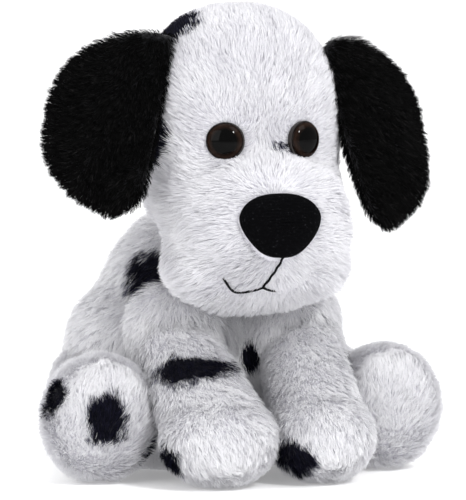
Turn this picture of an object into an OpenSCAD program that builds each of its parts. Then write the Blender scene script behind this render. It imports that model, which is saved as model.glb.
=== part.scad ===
// Seated plush puppy. Sewn pile-cloth covers over fibre stuffing, snap-in eyes, a bean pouch in the seat.
// +Z is up, the puppy faces -Y, its left side is +X. The origin is under the middle of the whole toy.

/* [Cloth] */
// Thickness of the pile cloth, backing and combed-down pile together
cloth = 3; // [2:0.5:4]
// Play between a cover and the stuffing inside it
play = 0.25; // [0.2:0.05:0.5]

/* [Head] */
// Width of the skull part of the head
skull_w = 87; // [80:1:90]
// Depth of the skull part
skull_d = 74; // [68:1:76]
// Height of the skull part
skull_h = 107; // [100:1:108]
// Height of the skull's centre above the seat
skull_z = 145; // [145:1:150]
// Width of the muzzle
muzzle_w = 75; // [66:1:76]
// Length of the muzzle along its own sloping axis
muzzle_l = 72; // [64:1:72]
// Thickness of the muzzle across that axis
muzzle_t = 58; // [50:1:58]
// Slope of the muzzle, nose up
muzzle_tilt = 35; // [30:1:40]
// Width of the nose pad
nose_w = 33; // [26:1:36]
// Height of the nose pad
nose_h = 27; // [22:1:30]
// Diameter of an eye
eye_d = 15.5; // [12:0.5:16]
// Distance between the eye centres
eye_gap = 34.4; // [32:0.2:36]

/* [Ears] */
// Length of an ear along its seam
ear_l = 78; // [64:1:80]
// Width of an ear, from the seam outwards
ear_w = 43; // [36:1:44]
// Thickness of one layer of ear cloth
ear_t = 4.3; // [3:0.1:4.5]
// Lean of the ear seam towards the crown
ear_lean = 15.4; // [12:0.2:17]
// Backward sweep of the ears
ear_sweep = 27; // [24:1:30]
// Backward tilt of the upper end of the ear seam
ear_pitch = 12; // [10:1:14]

/* [Body] */
// Width of the seated haunch part of the torso
haunch_w = 102; // [92:1:104]
// Width of the chest part of the torso
chest_w = 92; // [80:1:92]
// Height of the torso's top, before the dish for the head is cut
torso_h = 112; // [106:1:112]
// Radius of the neck plug
neck_r = 12; // [10:0.5:12]

/* [Limbs] */
// Width of a fore paw
paw_w = 42; // [36:1:42]
// Height of a fore paw
paw_h = 38.6; // [34:0.2:38.6]
// Radius of a shoulder
shoulder_r = 16.5; // [14:0.5:17]
// Width of a hind foot
foot_w = 49; // [42:1:49]
// Height of a hind foot
foot_h = 50.6; // [44:0.2:51]
// Radius of a thigh
thigh_r = 25; // [20:0.5:25]
// Length of the tail behind its root
tail_l = 36; // [26:1:40]
// Radius of the tail
tail_r = 9; // [7:0.5:9.5]

/* [Hidden] */
$fn = 64;

// Shift that puts the origin under the middle of the toy
frame_y = 4.2;
// Gap between a moving part and the socket cut for it
joint_gap = 1.6;
// Reach of the boxes that split covers into panels
far = 300;

// Head
skull_c = [0, -30, skull_z];
skull_r = [skull_w, skull_d, skull_h] / 2;
muzzle_c = [0, -54, skull_z - 43];
muzzle_r = [muzzle_w, muzzle_l, muzzle_t] / 2;
crown_half = 9;
chin_z = muzzle_c[2] - 16;
neck_y = -8;
neck_low = 68;
neck_h = 13;

// Eyes: each sits on the skull's surface, square to it
eye_x = eye_gap / 2;
eye_y = skull_c[1] - skull_r[1] * sqrt(1 - pow(eye_x / skull_r[0], 2));
eye_turn = atan((eye_x / pow(skull_r[0], 2)) / ((skull_c[1] - eye_y) / pow(skull_r[1], 2)));
eye_z = skull_z - 3.5;
eye_rise = 4.6;
base_t = 1.5;
post_r = 2;
post_l = 14;
pupil_r = 4.4;
pupil_t = 0.6;
washer_z = -5;
washer_t = 1.3;
washer_r = 5.5;

// Nose
nose_depth = 9;
nose_skin = 1.2;
nose_c = [0, -87, skull_z - 36];
nose_tilt = 14;

// Mouth: a thread that drops from the nose and parts into a smile
thread_r = 0.55;
mouth_half = 19;
mouth_dip = 9;
mouth_z = 79.5;
mouth_top_z = 94;

// Ears
ear_foot = [41.4, -51, skull_z - 2];
ear_root = 1.2;
ear_round = 0.56;

// Torso: a haunch lobe and a chest lobe
haunch_c = [0, 14, 30];
haunch_r = [haunch_w / 2, 42, 50];
chest_r = [chest_w / 2, 38, 50];
chest_c = [0, 12, torso_h - chest_r[2]];
seat_z = 5;
dish_r = 50;
dish_c = [0, -33, skull_z - 9.5];
muzzle_dish_r = 36;
muzzle_dish_c = [0, -50, skull_z - 49];
pouch_c = [0, 16, 13.5];
pouch_r = 23;
pouch_half = 8;
pouch_skin = 1;
stitch_n = 7;
stitch_l = 5;

// Limbs
shoulder = [29, -28, 56];
paw_c = [21.8, -68, paw_h / 2 + 0.2];
paw_r = [paw_w / 2, 24, paw_h / 2];
arm_top_r = shoulder_r - 0.8;
arm_r = 17.5;
hip = [53, 13, 30];
foot_c = [63.5, -38, foot_h / 2 + 0.2];
foot_r = [foot_w / 2, 19, foot_h / 2];
shin_top_r = thigh_r - 2;
shin_r = 17;
tail_root = [0, 54, 24];
tail_rise = 14;
tail_tip_r = 7;

// Height of the mouth line at a distance x from the middle
function mouth_height(x) = mouth_z + (x < mouth_dip ? 0.025 : 0.07) * pow(x - mouth_dip, 2);

// Distance that the muzzle's front surface stands forward of its centre, at [x, z] from that centre:
// the forward root of the tilted ellipsoid's equation
function muzzle_reach(x, z) =
    let (c = cos(muzzle_tilt), s = sin(muzzle_tilt), l = muzzle_r[1], t = muzzle_r[2],
         a = pow(c / l, 2) + pow(s / t, 2),
         b = 2 * z * c * s * (1 / pow(l, 2) - 1 / pow(t, 2)),
         k = pow(z * s / l, 2) + pow(z * c / t, 2) + pow(x / muzzle_r[0], 2) - 1)
    (-b + sqrt(max(0, b * b - 4 * a * k))) / (2 * a);

function on_muzzle(x, z) =
    [x, muzzle_c[1] - muzzle_reach(x, z - muzzle_c[2]) - thread_r - 0.7, z];

// How far back an egg-shaped lobe reaches at a height z
function lobe_back(c, r, z) = c[1] + r[1] * sqrt(max(0, 1 - pow((z - c[2]) / r[2], 2)));

// Rings of a tube along a list of points, and its side and end faces
function tube_points(path, r, n) = [for (i = [0 : len(path) - 1])
    let (a = path[max(0, i - 1)], b = path[min(len(path) - 1, i + 1)],
         d = (b - a) / norm(b - a),
         u = cross(d, [0, 1, 0.01]) / norm(cross(d, [0, 1, 0.01])), v = cross(d, u))
    for (k = [0 : n - 1]) path[i] + r * (cos(360 * k / n) * u + sin(360 * k / n) * v)];
function tube_faces(m, n) = concat(
    [[for (k = [n - 1 : -1 : 0]) k]],
    [for (i = [0 : m - 2]) for (k = [0 : n - 1])
        [i * n + k, i * n + (k + 1) % n, (i + 1) * n + (k + 1) % n, (i + 1) * n + k]],
    [[for (k = [0 : n - 1]) (m - 1) * n + k]]);

module thread(path, r, n = 8) {
    polyhedron(points = tube_points(path, r, n), faces = tube_faces(len(path), n));
}

module egg(centre, radii) {
    translate(centre) scale(radii) rotate([0, 90, 0]) sphere(r = 1);
}

// A tapering round bar between two points
module limb(from, to, r1, r2) {
    d = to - from;
    translate(from) rotate([0, acos(d[2] / norm(d)), atan2(d[1], d[0])])
        cylinder(r1 = r1, r2 = r2, h = norm(d));
}

// The part of space with one coordinate between two values
module slab(axis, low, high) {
    size = [for (i = [0 : 2]) i == axis ? high - low : 2 * far];
    corner = [for (i = [0 : 2]) i == axis ? low : -far];
    translate(corner) cube(size);
}

module muzzle_egg(grow = 0) {
    translate(muzzle_c) rotate([-muzzle_tilt, 0, 0])
        scale(muzzle_r + [grow, grow, grow]) rotate([0, 90, 0]) sphere(r = 1);
}

module skull_egg(grow = 0) {
    translate(skull_c) scale(skull_r + [grow, grow, grow]) sphere(r = 1);
}

// Places its children on an eye: local +Z points out of the head, z = 0 is the cloth's face
module at_eye(side) {
    translate([side * eye_x, eye_y, eye_z]) rotate([90, 0, side * eye_turn]) children();
}

module eye_pocket(side) {
    at_eye(side) {
        translate([0, 0, -base_t - 0.3]) cylinder(r = eye_d / 2 + 0.2, h = 20);
        translate([0, 0, -post_l - 0.5]) cylinder(r = post_r + 0.3, h = post_l);
    }
}

module washer_pocket(side) {
    at_eye(side) translate([0, 0, washer_z - 0.4]) cylinder(r = washer_r + 0.3, h = washer_t + 1.5);
}

// The cranium's cover, before it is cut into panels
module skull_cover() {
    difference() {
        skull_egg();
        skull_egg(-cloth);
        muzzle_egg(play);
        for (side = [-1, 1]) eye_pocket(side);
    }
}

module crown_panel() {
    color("white") intersection() {
        skull_cover();
        slab(0, -crown_half, crown_half);
    }
}

module face_panel(side) {
    color("white") intersection() {
        skull_cover();
        if (side > 0) slab(0, crown_half + 0.05, far);
        else slab(0, -far, -crown_half - 0.05);
    }
}

module muzzle_cover() {
    difference() {
        muzzle_egg();
        muzzle_egg(-cloth);
        skull_egg(-cloth + play);
    }
}

module muzzle_panel() {
    color("white") intersection() {
        muzzle_cover();
        slab(2, chin_z + 0.05, far);
    }
}

module chin_panel() {
    color("white") intersection() {
        muzzle_cover();
        slab(2, -far, chin_z);
    }
}

module head_stuffing() {
    color("gainsboro") difference() {
        union() {
            skull_egg(-cloth - play);
            muzzle_egg(-cloth - play);
        }
        for (side = [-1, 1]) {
            eye_pocket(side);
            washer_pocket(side);
        }
    }
}

module nose_egg(grow = 0) {
    translate(nose_c) rotate([-nose_tilt, 0, 0])
        scale([nose_w / 2, nose_depth, nose_h / 2] + [grow, grow, grow]) rotate([0, 0, 90]) sphere(r = 1);
}

module nose_cover() {
    color("black") difference() {
        nose_egg();
        nose_egg(-nose_skin);
        muzzle_egg(play);
    }
}

module nose_filling() {
    color("gainsboro") difference() {
        nose_egg(-nose_skin - 0.1);
        muzzle_egg(play);
    }
}

module mouth_thread() {
    smile = [for (x = [-mouth_half : 2 : mouth_half]) on_muzzle(x, mouth_height(abs(x)))];
    drop = [for (z = [mouth_height(0) + 1.6 : 2 : mouth_top_z]) on_muzzle(0, z)];
    color("black") {
        thread(smile, thread_r);
        thread(drop, thread_r);
    }
}

module eye_lens(side) {
    dome_r = (pow(eye_d / 2, 2) + pow(eye_rise, 2)) / (2 * eye_rise);
    color("saddlebrown") at_eye(side) difference() {
        intersection() {
            translate([0, 0, eye_rise - dome_r]) sphere(r = dome_r);
            slab(2, 0.05, far);
        }
        translate([0, 0, -1]) cylinder(r = pupil_r + 0.05, h = pupil_t + 1.15);
    }
}

module eye_pupil(side) {
    color("black") at_eye(side) translate([0, 0, 0.05]) cylinder(r = pupil_r, h = pupil_t);
}

module eye_base(side) {
    color("black") at_eye(side) {
        translate([0, 0, -base_t]) cylinder(r = eye_d / 2, h = base_t);
        translate([0, 0, -post_l]) cylinder(r = post_r, h = post_l - base_t / 2);
    }
}

module eye_washer(side) {
    color("white") at_eye(side) translate([0, 0, washer_z]) difference() {
        cylinder(r = washer_r, h = washer_t);
        translate([0, 0, -1]) cylinder(r = post_r + 0.05, h = washer_t + 2);
    }
}

// One ear layer, D-shaped, its straight edge the seam; layer 0 is the back one, layer 1 lies in front
module ear_layer(side, layer) {
    color("black") mirror([side < 0 ? 1 : 0, 0, 0]) translate(ear_foot)
        rotate([0, -ear_lean, 0]) rotate([-ear_pitch, 0, 0]) rotate([0, 0, ear_sweep])
            translate([ear_root, -layer * (ear_t + 0.2), 5]) rotate([90, 0, 0])
                linear_extrude(height = ear_t) intersection() {
                    translate([ear_w * (1 - ear_round), 0])
                        scale([ear_w * ear_round, ear_l / 2]) circle(r = 1);
                    translate([0, -far]) square([far, 2 * far]);
                }
}

// Room in the torso for the head, the neck and the limbs
module torso_cuts() {
    translate(dish_c) sphere(r = dish_r);
    translate(muzzle_dish_c) sphere(r = muzzle_dish_r);
    translate([0, neck_y, neck_low - joint_gap]) cylinder(r = neck_r + cloth / 2 + joint_gap, h = 80);
    translate(tail_root) sphere(r = tail_r + joint_gap);
    for (side = [-1, 1]) on_side(side) {
        translate(shoulder) sphere(r = shoulder_r + joint_gap);
        translate(hip) sphere(r = thigh_r + joint_gap);
        limb(hip, foot_c, shin_top_r + joint_gap, shin_r + joint_gap);
    }
}

module torso_lobes(inset) {
    grow = [inset, inset, inset];
    intersection() {
        union() {
            translate(haunch_c) scale(haunch_r - grow) sphere(r = 1);
            translate(chest_c) scale(chest_r - grow) sphere(r = 1);
        }
        slab(2, inset, far);
    }
}

module torso_cover() {
    difference() {
        torso_lobes(0);
        torso_lobes(cloth);
        torso_cuts();
    }
}

module back_panel(side) {
    color("white") on_side(side) intersection() {
        torso_cover();
        slab(2, seat_z + 0.05, far);
        slab(1, 0.05, far);
        slab(0, 0.05, far);
    }
}

module chest_panel() {
    color("white") intersection() {
        torso_cover();
        slab(2, seat_z + 0.05, far);
        slab(1, -far, 0);
    }
}

module seat_panel() {
    color("white") intersection() {
        torso_cover();
        slab(2, -far, seat_z);
    }
}

module torso_stuffing() {
    color("gainsboro") difference() {
        torso_lobes(cloth + play);
        torso_cuts();
        translate([pouch_c[0], pouch_c[1], 0])
            cylinder(r = pouch_r + play, h = pouch_c[2] + pouch_half + play);
    }
}

// Ladder stitches across the middle of the back, where the stuffing went in
module closing_stitches() {
    color("white") for (i = [0 : stitch_n - 1]) {
        z = 48 + 5 * i;
        y = max(lobe_back(chest_c, chest_r, z), lobe_back(haunch_c, haunch_r, z));
        translate([-stitch_l / 2, y + thread_r + 0.3, z]) rotate([0, 90, 0])
            cylinder(r = thread_r, h = stitch_l);
    }
}

// A barrel, flat above and below
module pouch_solid(inset) {
    intersection() {
        translate(pouch_c) sphere(r = pouch_r - inset);
        slab(2, pouch_c[2] - pouch_half + inset, pouch_c[2] + pouch_half - inset);
    }
}

module bean_pouch() {
    color("beige") difference() {
        pouch_solid(0);
        pouch_solid(pouch_skin);
    }
}

module bean_fill() {
    color("ivory") pouch_solid(pouch_skin + 0.1);
}

module neck_sleeve() {
    color("white") translate([0, neck_y, neck_low]) difference() {
        cylinder(r = neck_r + cloth / 2, h = neck_h);
        translate([0, 0, -1]) cylinder(r = neck_r, h = neck_h + 2);
    }
}

module neck_stuffing() {
    color("gainsboro") translate([0, neck_y, neck_low]) cylinder(r = neck_r - 0.1, h = neck_h);
}

// Both forelegs and hind legs: the left ones are drawn, the right ones mirrored
module on_side(side) {
    mirror([side < 0 ? 1 : 0, 0, 0]) children();
}

module foreleg_solid(inset) {
    translate(shoulder) sphere(r = shoulder_r - inset);
    limb(shoulder, paw_c, arm_top_r - inset, arm_r - inset);
    egg(paw_c, paw_r - [inset, inset, inset]);
}

module hindleg_solid(inset) {
    translate(hip) rotate([0, 90, 0]) sphere(r = thigh_r - inset);
    limb(hip, foot_c, shin_top_r - inset, shin_r - inset);
    egg(foot_c, foot_r - [inset, inset, inset]);
}

module foreleg_panel(side, outer) {
    color("white") on_side(side) intersection() {
        difference() {
            foreleg_solid(0);
            foreleg_solid(cloth);
        }
        if (outer) slab(0, shoulder[0] - 1.95, far);
        else slab(0, -far, shoulder[0] - 2);
    }
}

module foreleg_stuffing(side) {
    color("gainsboro") on_side(side) foreleg_solid(cloth + play);
}

module hindleg_panel(side, outer) {
    color("white") on_side(side) intersection() {
        difference() {
            hindleg_solid(0);
            hindleg_solid(cloth);
        }
        if (outer) slab(0, foot_c[0] - 8 + 0.05, far);
        else slab(0, -far, foot_c[0] - 8);
    }
}

module hindleg_stuffing(side) {
    color("gainsboro") on_side(side) hindleg_solid(cloth + play);
}

module tail_solid(inset) {
    slope = atan(tail_rise / tail_l);
    reach = tail_l - tail_tip_r;
    translate(tail_root) rotate([slope - 90, 0, 0]) {
        sphere(r = tail_r - inset);
        cylinder(r1 = tail_r - inset, r2 = tail_tip_r - inset, h = reach);
        translate([0, 0, reach]) sphere(r = tail_tip_r - inset);
    }
}

module tail_cover() {
    color("white") difference() {
        tail_solid(0);
        tail_solid(cloth);
    }
}

module tail_stuffing() {
    color("gainsboro") tail_solid(cloth + play);
}

translate([0, frame_y, 0]) {
    crown_panel();
    face_panel(1);  // face_panel_left
    face_panel(-1);  // face_panel_right
    muzzle_panel();
    chin_panel();
    head_stuffing();
    nose_cover();
    nose_filling();
    mouth_thread();
    eye_lens(1);  // eye_lens_left
    eye_lens(-1);  // eye_lens_right
    eye_pupil(1);  // eye_pupil_left
    eye_pupil(-1);  // eye_pupil_right
    eye_base(1);  // eye_base_left
    eye_base(-1);  // eye_base_right
    eye_washer(1);  // eye_washer_left
    eye_washer(-1);  // eye_washer_right
    ear_layer(1, 1);  // ear_front_left
    ear_layer(-1, 1);  // ear_front_right
    ear_layer(1, 0);  // ear_back_left
    ear_layer(-1, 0);  // ear_back_right
    neck_sleeve();
    neck_stuffing();
    back_panel(1);  // back_panel_left
    back_panel(-1);  // back_panel_right
    chest_panel();
    seat_panel();
    torso_stuffing();
    closing_stitches();
    bean_pouch();
    bean_fill();
    foreleg_panel(1, true);  // foreleg_outer_left
    foreleg_panel(-1, true);  // foreleg_outer_right
    foreleg_panel(1, false);  // foreleg_inner_left
    foreleg_panel(-1, false);  // foreleg_inner_right
    foreleg_stuffing(1);  // foreleg_stuffing_left
    foreleg_stuffing(-1);  // foreleg_stuffing_right
    hindleg_panel(1, true);  // hindleg_outer_left
    hindleg_panel(-1, true);  // hindleg_outer_right
    hindleg_panel(1, false);  // hindleg_inner_left
    hindleg_panel(-1, false);  // hindleg_inner_right
    hindleg_stuffing(1);  // hindleg_stuffing_left
    hindleg_stuffing(-1);  // hindleg_stuffing_right
    tail_cover();
    tail_stuffing();
}
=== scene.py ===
"""A seated plush puppy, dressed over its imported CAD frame: skins, combed pile, face and studio.

The toy faces -Y and its own left side is +X. Lengths below are in millimetres unless a name says otherwise.
"""
import math

import bmesh
import bpy
import numpy as np
from mathutils import Matrix, Vector
from mathutils.bvhtree import BVHTree
from mathutils.kdtree import KDTree


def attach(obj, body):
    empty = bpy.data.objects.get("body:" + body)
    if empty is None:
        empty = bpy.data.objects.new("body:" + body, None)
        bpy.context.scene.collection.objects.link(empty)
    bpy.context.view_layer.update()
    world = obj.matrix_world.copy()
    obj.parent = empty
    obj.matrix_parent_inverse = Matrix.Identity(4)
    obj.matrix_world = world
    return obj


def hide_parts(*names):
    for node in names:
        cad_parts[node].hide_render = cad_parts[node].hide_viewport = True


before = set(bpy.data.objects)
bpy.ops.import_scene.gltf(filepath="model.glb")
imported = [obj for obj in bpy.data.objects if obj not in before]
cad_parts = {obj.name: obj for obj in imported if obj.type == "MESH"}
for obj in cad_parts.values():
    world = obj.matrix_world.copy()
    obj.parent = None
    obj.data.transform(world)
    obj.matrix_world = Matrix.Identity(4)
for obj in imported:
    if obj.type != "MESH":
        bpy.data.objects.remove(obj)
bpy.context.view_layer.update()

MM = 0.001
SEED = 41

# --- The frame's own measures, repeated from the CAD source ---------------------------------------------------------
SHIFT = np.array([0.0, 4.2, 0.0])
SKULL_C = np.array([0, -30, 145.0]) + SHIFT
SKULL_R = np.array([43.5, 37, 53.5])
MUZZLE_C = np.array([0, -54, 102.0]) + SHIFT
MUZZLE_R = np.array([37.5, 36, 29.0])
MUZZLE_TILT = 35
NOSE_C = np.array([-1.9, -87, 108.2]) + SHIFT
NOSE_TILT = 14
EYE_X, EYE_Z, EYE_D = 17.2, 141.5, 15.5
EAR_FOOT = np.array([41.4, -51, 143.0]) + SHIFT
EAR_LEAN, EAR_PITCH, EAR_SWEEP = 15.4, 12, 27
EAR_L, EAR_W, EAR_T = 78, 43, 4.4
HAUNCH_C = np.array([0, 14, 30.0]) + SHIFT
HAUNCH_R = np.array([51, 42, 50.0])
CHEST_C = np.array([0, 12, 62.0]) + SHIFT
CHEST_R = np.array([46, 38, 50.0])
SHOULDER = np.array([29, -28, 56.0]) + SHIFT
SHOULDER_R, ARM_TOP_R, ARM_R = 16.5, 15.7, 17.5
PAW_C = np.array([21.8, -68, 19.5]) + SHIFT
PAW_R = np.array([21, 24, 19.3])
HIP = np.array([53, 13, 30.0]) + SHIFT
THIGH_R, SHIN_TOP_R, SHIN_R = 25, 23, 17
FOOT_C = np.array([63.5, -38, 25.5]) + SHIFT
FOOT_R = np.array([24.5, 19, 25.3])
TAIL_ROOT = np.array([0, 54, 24.0]) + SHIFT
TAIL_TIP = np.array([0, 54 + 27, 24 + 10.5]) + SHIFT
TAIL_R, TAIL_TIP_R = 9, 7
SEAT_TOP = 1.0

BACKING = 2.4      # depth of the cloth backing under the pile's combed surface


# --- Small helpers ---------------------------------------------------------------------------------------------------
def unit(v):
    return v / np.maximum(np.linalg.norm(v, axis=-1, keepdims=True), 1e-9)


def smooth(lo, hi, x):
    t = np.clip((x - lo) / (hi - lo), 0, 1)
    return t * t * (3 - 2 * t)


def turn(axis, degrees):
    return np.array(Matrix.Rotation(math.radians(degrees), 3, axis))


def ripple(p, size, seed):
    """Soft random-looking waves between about -1 and 1, size millimetres across."""
    rng = np.random.default_rng(seed)
    total = np.zeros(len(p))
    for octave in range(7):
        k = rng.normal(size=3)
        k *= 2 * math.pi / (size * rng.uniform(0.6, 1.5) * np.linalg.norm(k))
        total += np.sin(p @ k + rng.uniform(0, 2 * math.pi))
    return total / 3.2


def new_mesh(name, points, faces, smooth_shade=True):
    mesh = bpy.data.meshes.new(name)
    mesh.from_pydata([tuple(p) for p in np.asarray(points) * MM], [], [tuple(int(i) for i in f) for f in faces])
    mesh.validate()
    mesh.update()
    mesh.polygons.foreach_set("use_smooth", [smooth_shade] * len(mesh.polygons))
    obj = bpy.data.objects.new(name, mesh)
    bpy.context.scene.collection.objects.link(obj)
    return obj


def bake_modifiers(obj):
    """Replaces the object's mesh by what its modifiers make of it."""
    graph = bpy.context.evaluated_depsgraph_get()
    graph.update()
    made = bpy.data.meshes.new_from_object(obj.evaluated_get(graph))
    obj.modifiers.clear()
    old, obj.data = obj.data, made
    made.name = obj.name
    bpy.data.meshes.remove(old)
    return obj


def points_of(obj):
    co = np.empty(len(obj.data.vertices) * 3)
    obj.data.vertices.foreach_get("co", co)
    return co.reshape(-1, 3) / MM


def set_points(obj, points):
    obj.data.vertices.foreach_set("co", (np.asarray(points) * MM).ravel())
    obj.data.update()


def ball(centre, radii, rotation=None, rings=20, squareness=0.0):
    """Points and faces of an egg; squareness fills out its corners."""
    points, faces = [], []
    n = 2 * rings
    for i in range(rings + 1):
        a = math.pi * i / rings
        for k in range(n):
            b = 2 * math.pi * k / n
            points.append([math.sin(a) * math.cos(b), math.sin(a) * math.sin(b), math.cos(a)])
    for i in range(rings):
        for k in range(n):
            m = (k + 1) % n
            quad = [i * n + k, (i + 1) * n + k, (i + 1) * n + m, i * n + m]
            faces.append(quad)
    p = np.array(points)
    power = 2 + squareness
    p = p / np.sum(np.abs(p) ** power, axis=1, keepdims=True) ** (1 / power) * np.asarray(radii)
    if rotation is not None:
        p = p @ rotation.T
    return p + centre, faces


def limb(a, b, r1, r2, steps=14):
    """A tapering round bar between two points, closed at both ends."""
    d = b - a
    rotation = np.array(Vector(d).to_track_quat("Z", "Y").to_matrix())
    rays = 40
    points, faces = [], []
    for i in range(steps + 1):
        t = i / steps
        r = r1 + (r2 - r1) * t
        for k in range(rays):
            angle = 2 * math.pi * k / rays
            points.append([r * math.cos(angle), r * math.sin(angle), t * np.linalg.norm(d)])
    for i in range(steps):
        for k in range(rays):
            m = (k + 1) % rays
            faces.append([i * rays + k, i * rays + m, (i + 1) * rays + m, (i + 1) * rays + k])
    faces.append([k for k in range(rays)][::-1])
    faces.append([steps * rays + k for k in range(rays)])
    return np.array(points) @ rotation.T + a, faces


def blob(name, eggs, voxel, rounds):
    """One skin round several eggs, its creases rounded off."""
    points, faces, base = [], [], 0
    for p, f in eggs:
        points.append(p)
        faces += [[i + base for i in q] for q in f]
        base += len(p)
    obj = new_mesh(name, np.vstack(points), faces)
    remesh = obj.modifiers.new("skin", "REMESH")
    remesh.mode = "VOXEL"
    remesh.voxel_size = voxel * MM
    remesh.use_smooth_shade = True
    even = obj.modifiers.new("even", "SMOOTH")
    even.factor = 0.5
    even.iterations = rounds
    return bake_modifiers(obj)


def mirrored(obj, name):
    """A mirror image of an object across the toy's middle plane."""
    copy = obj.copy()
    copy.data = obj.data.copy()
    copy.name = name
    copy.data.name = name
    p = points_of(obj)
    p[:, 0] *= -1
    set_points(copy, p)
    copy.data.flip_normals()
    bpy.context.scene.collection.objects.link(copy)
    return copy


def stuff(obj, seam, pressure=4.0, cap=4.0, frames=16):
    """Swells a skin with cloth pressure between its sewn seams, which stay where they are."""
    rest = points_of(obj)
    held = obj.vertex_groups.new(name="seam")
    for weight, members in ((1.0, np.nonzero(seam)[0]),):
        held.add([int(i) for i in members], weight, "REPLACE")
    cloth = obj.modifiers.new("stuffing", "CLOTH")
    s = cloth.settings
    s.quality = 5
    s.mass = 0.2
    s.tension_stiffness = 12
    s.compression_stiffness = 12
    s.shear_stiffness = 6
    s.bending_stiffness = 0.4
    s.use_pressure = True
    s.uniform_pressure_force = pressure
    s.vertex_group_mass = "seam"
    s.effector_weights.gravity = 0
    cloth.point_cache.frame_start = 1
    cloth.point_cache.frame_end = frames
    scene = bpy.context.scene
    for f in range(1, frames + 1):
        scene.frame_set(f)
    graph = bpy.context.evaluated_depsgraph_get()
    made = obj.evaluated_get(graph).to_mesh()
    co = np.empty(len(made.vertices) * 3)
    made.vertices.foreach_get("co", co)
    obj.evaluated_get(graph).to_mesh_clear()
    obj.modifiers.clear()
    obj.vertex_groups.clear()
    scene.frame_set(1)
    step = co.reshape(-1, 3) / MM - rest
    far = np.linalg.norm(step, axis=1, keepdims=True)
    set_points(obj, rest + step * np.minimum(1, cap / np.maximum(far, 1e-6)))
    return obj


def subdivide(obj, levels=1):
    sub = obj.modifiers.new("even", "SUBSURF")
    sub.levels = levels
    sub.render_levels = levels
    return bake_modifiers(obj)


# --- The spots of the coat -------------------------------------------------------------------------------------------
# body: (centre, radii, share); that share of the strands inside the wobbling outline takes the dark colour
SPOTS = {
    "head": [
        ((-31, -33, 189), (11, 19, 9), 1.0),
        ((-40, -43, 140), (8, 8, 10), 1.0),
        ((9, -67, 137.5), (6, 9, 2.6), 0.45),
        ((30, 6, 150), (17, 12, 19), 1.0),
        ((-14, 8, 128), (13, 9, 11), 1.0),
        ((36, -14, 186), (8, 10, 7), 1.0),
    ],
    "torso": [
        ((-31, -14, 84), (12, 15, 12), 1.0),
        ((7, -27, 50), (3.4, 7, 7.5), 1.0),
        ((22, 50, 84), (18, 12, 15), 1.0),
        ((-18, 56, 46), (14, 10, 17), 1.0),
        ((50, 26, 66), (10, 13, 11), 1.0),
    ],
    "foreleg_right": [((-33.5, -52, 45), (9, 12, 7.5), 1.0), ((-27, -55, 47.5), (16, 13, 4.5), 1.0), ((-44, -66, 8), (6, 12, 11), 1.0)],
    "foreleg_left": [((5, -80, 11), (10, 14, 10), 1.0), ((46, -40, 44), (8, 11, 9), 1.0)],
    "hindleg_right": [((-66, -57, 27), (8.5, 9, 10.5), 1.0), ((-88, -42, 37), (9, 8, 9), 1.0), ((-41, -46, 7), (8, 9, 10), 1.0)],
    "hindleg_left": [((88, -18, 34), (10, 12, 10), 1.0), ((68, 30, 38), (12, 12, 9), 1.0)],
    "tail": [((0, 78, 40), (9, 9, 8), 1.0)],
}


def spotted(body, p):
    """How dark the coat is at each point: 1 well inside a spot, 0 well outside."""
    dark = np.zeros(len(p))
    for i, (c, r, share) in enumerate(SPOTS.get(body, [])):
        d = np.linalg.norm((p - (np.array(c) + SHIFT)) / np.array(r), axis=1)
        d += 0.16 * ripple(p, 9, SEED + i) + 0.07 * ripple(p, 4, SEED + 50 + i)
        dark = np.maximum(dark, share * (1 - smooth(0.78, 1.16, d)))
    return dark


# --- Materials -------------------------------------------------------------------------------------------------------
def material(name):
    mat = bpy.data.materials.new(name)
    mat.use_nodes = True
    tree = mat.node_tree
    shader = next(n for n in tree.nodes if n.type == "BSDF_PRINCIPLED")
    return mat, tree, shader


def ramp(tree, source, stops, kind="LINEAR"):
    node = tree.nodes.new("ShaderNodeValToRGB")
    node.color_ramp.interpolation = kind
    while len(node.color_ramp.elements) > 1:
        node.color_ramp.elements.remove(node.color_ramp.elements[-1])
    for i, (at, colour) in enumerate(stops):
        e = node.color_ramp.elements[0] if i == 0 else node.color_ramp.elements.new(at)
        e.position = at
        e.color = (*colour, 1)
    tree.links.new(source, node.inputs["Fac"])
    return node.outputs["Color"]


def multiply(tree, a, b):
    node = tree.nodes.new("ShaderNodeMix")
    node.data_type = "RGBA"
    node.blend_type = "MULTIPLY"
    node.inputs["Factor"].default_value = 1
    tree.links.new(a, node.inputs["A"])
    tree.links.new(b, node.inputs["B"])
    return node.outputs["Result"]


# The coat's colours by shade, from the blackest fibre at 0 to the whitest at 1
COAT = [
    (0.00, (0.004, 0.004, 0.007)),
    (0.20, (0.009, 0.009, 0.018)),
    (0.34, (0.030, 0.030, 0.062)),
    (0.48, (0.16, 0.16, 0.24)),
    (0.60, (0.56, 0.555, 0.60)),
    (0.72, (0.76, 0.755, 0.785)),
    (0.86, (0.88, 0.878, 0.895)),
    (1.00, (0.97, 0.97, 0.978)),
]

# The ears' shades: black, with a few greyer fibres that are a painted sheen
EAR_COAT_AND_SHEEN = [
    (0.00, (0.0008, 0.0008, 0.0009)),
    (0.45, (0.0024, 0.0024, 0.0024)),
    (0.85, (0.007, 0.007, 0.007)),
    (1.00, (0.022, 0.021, 0.021)),
]


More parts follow.
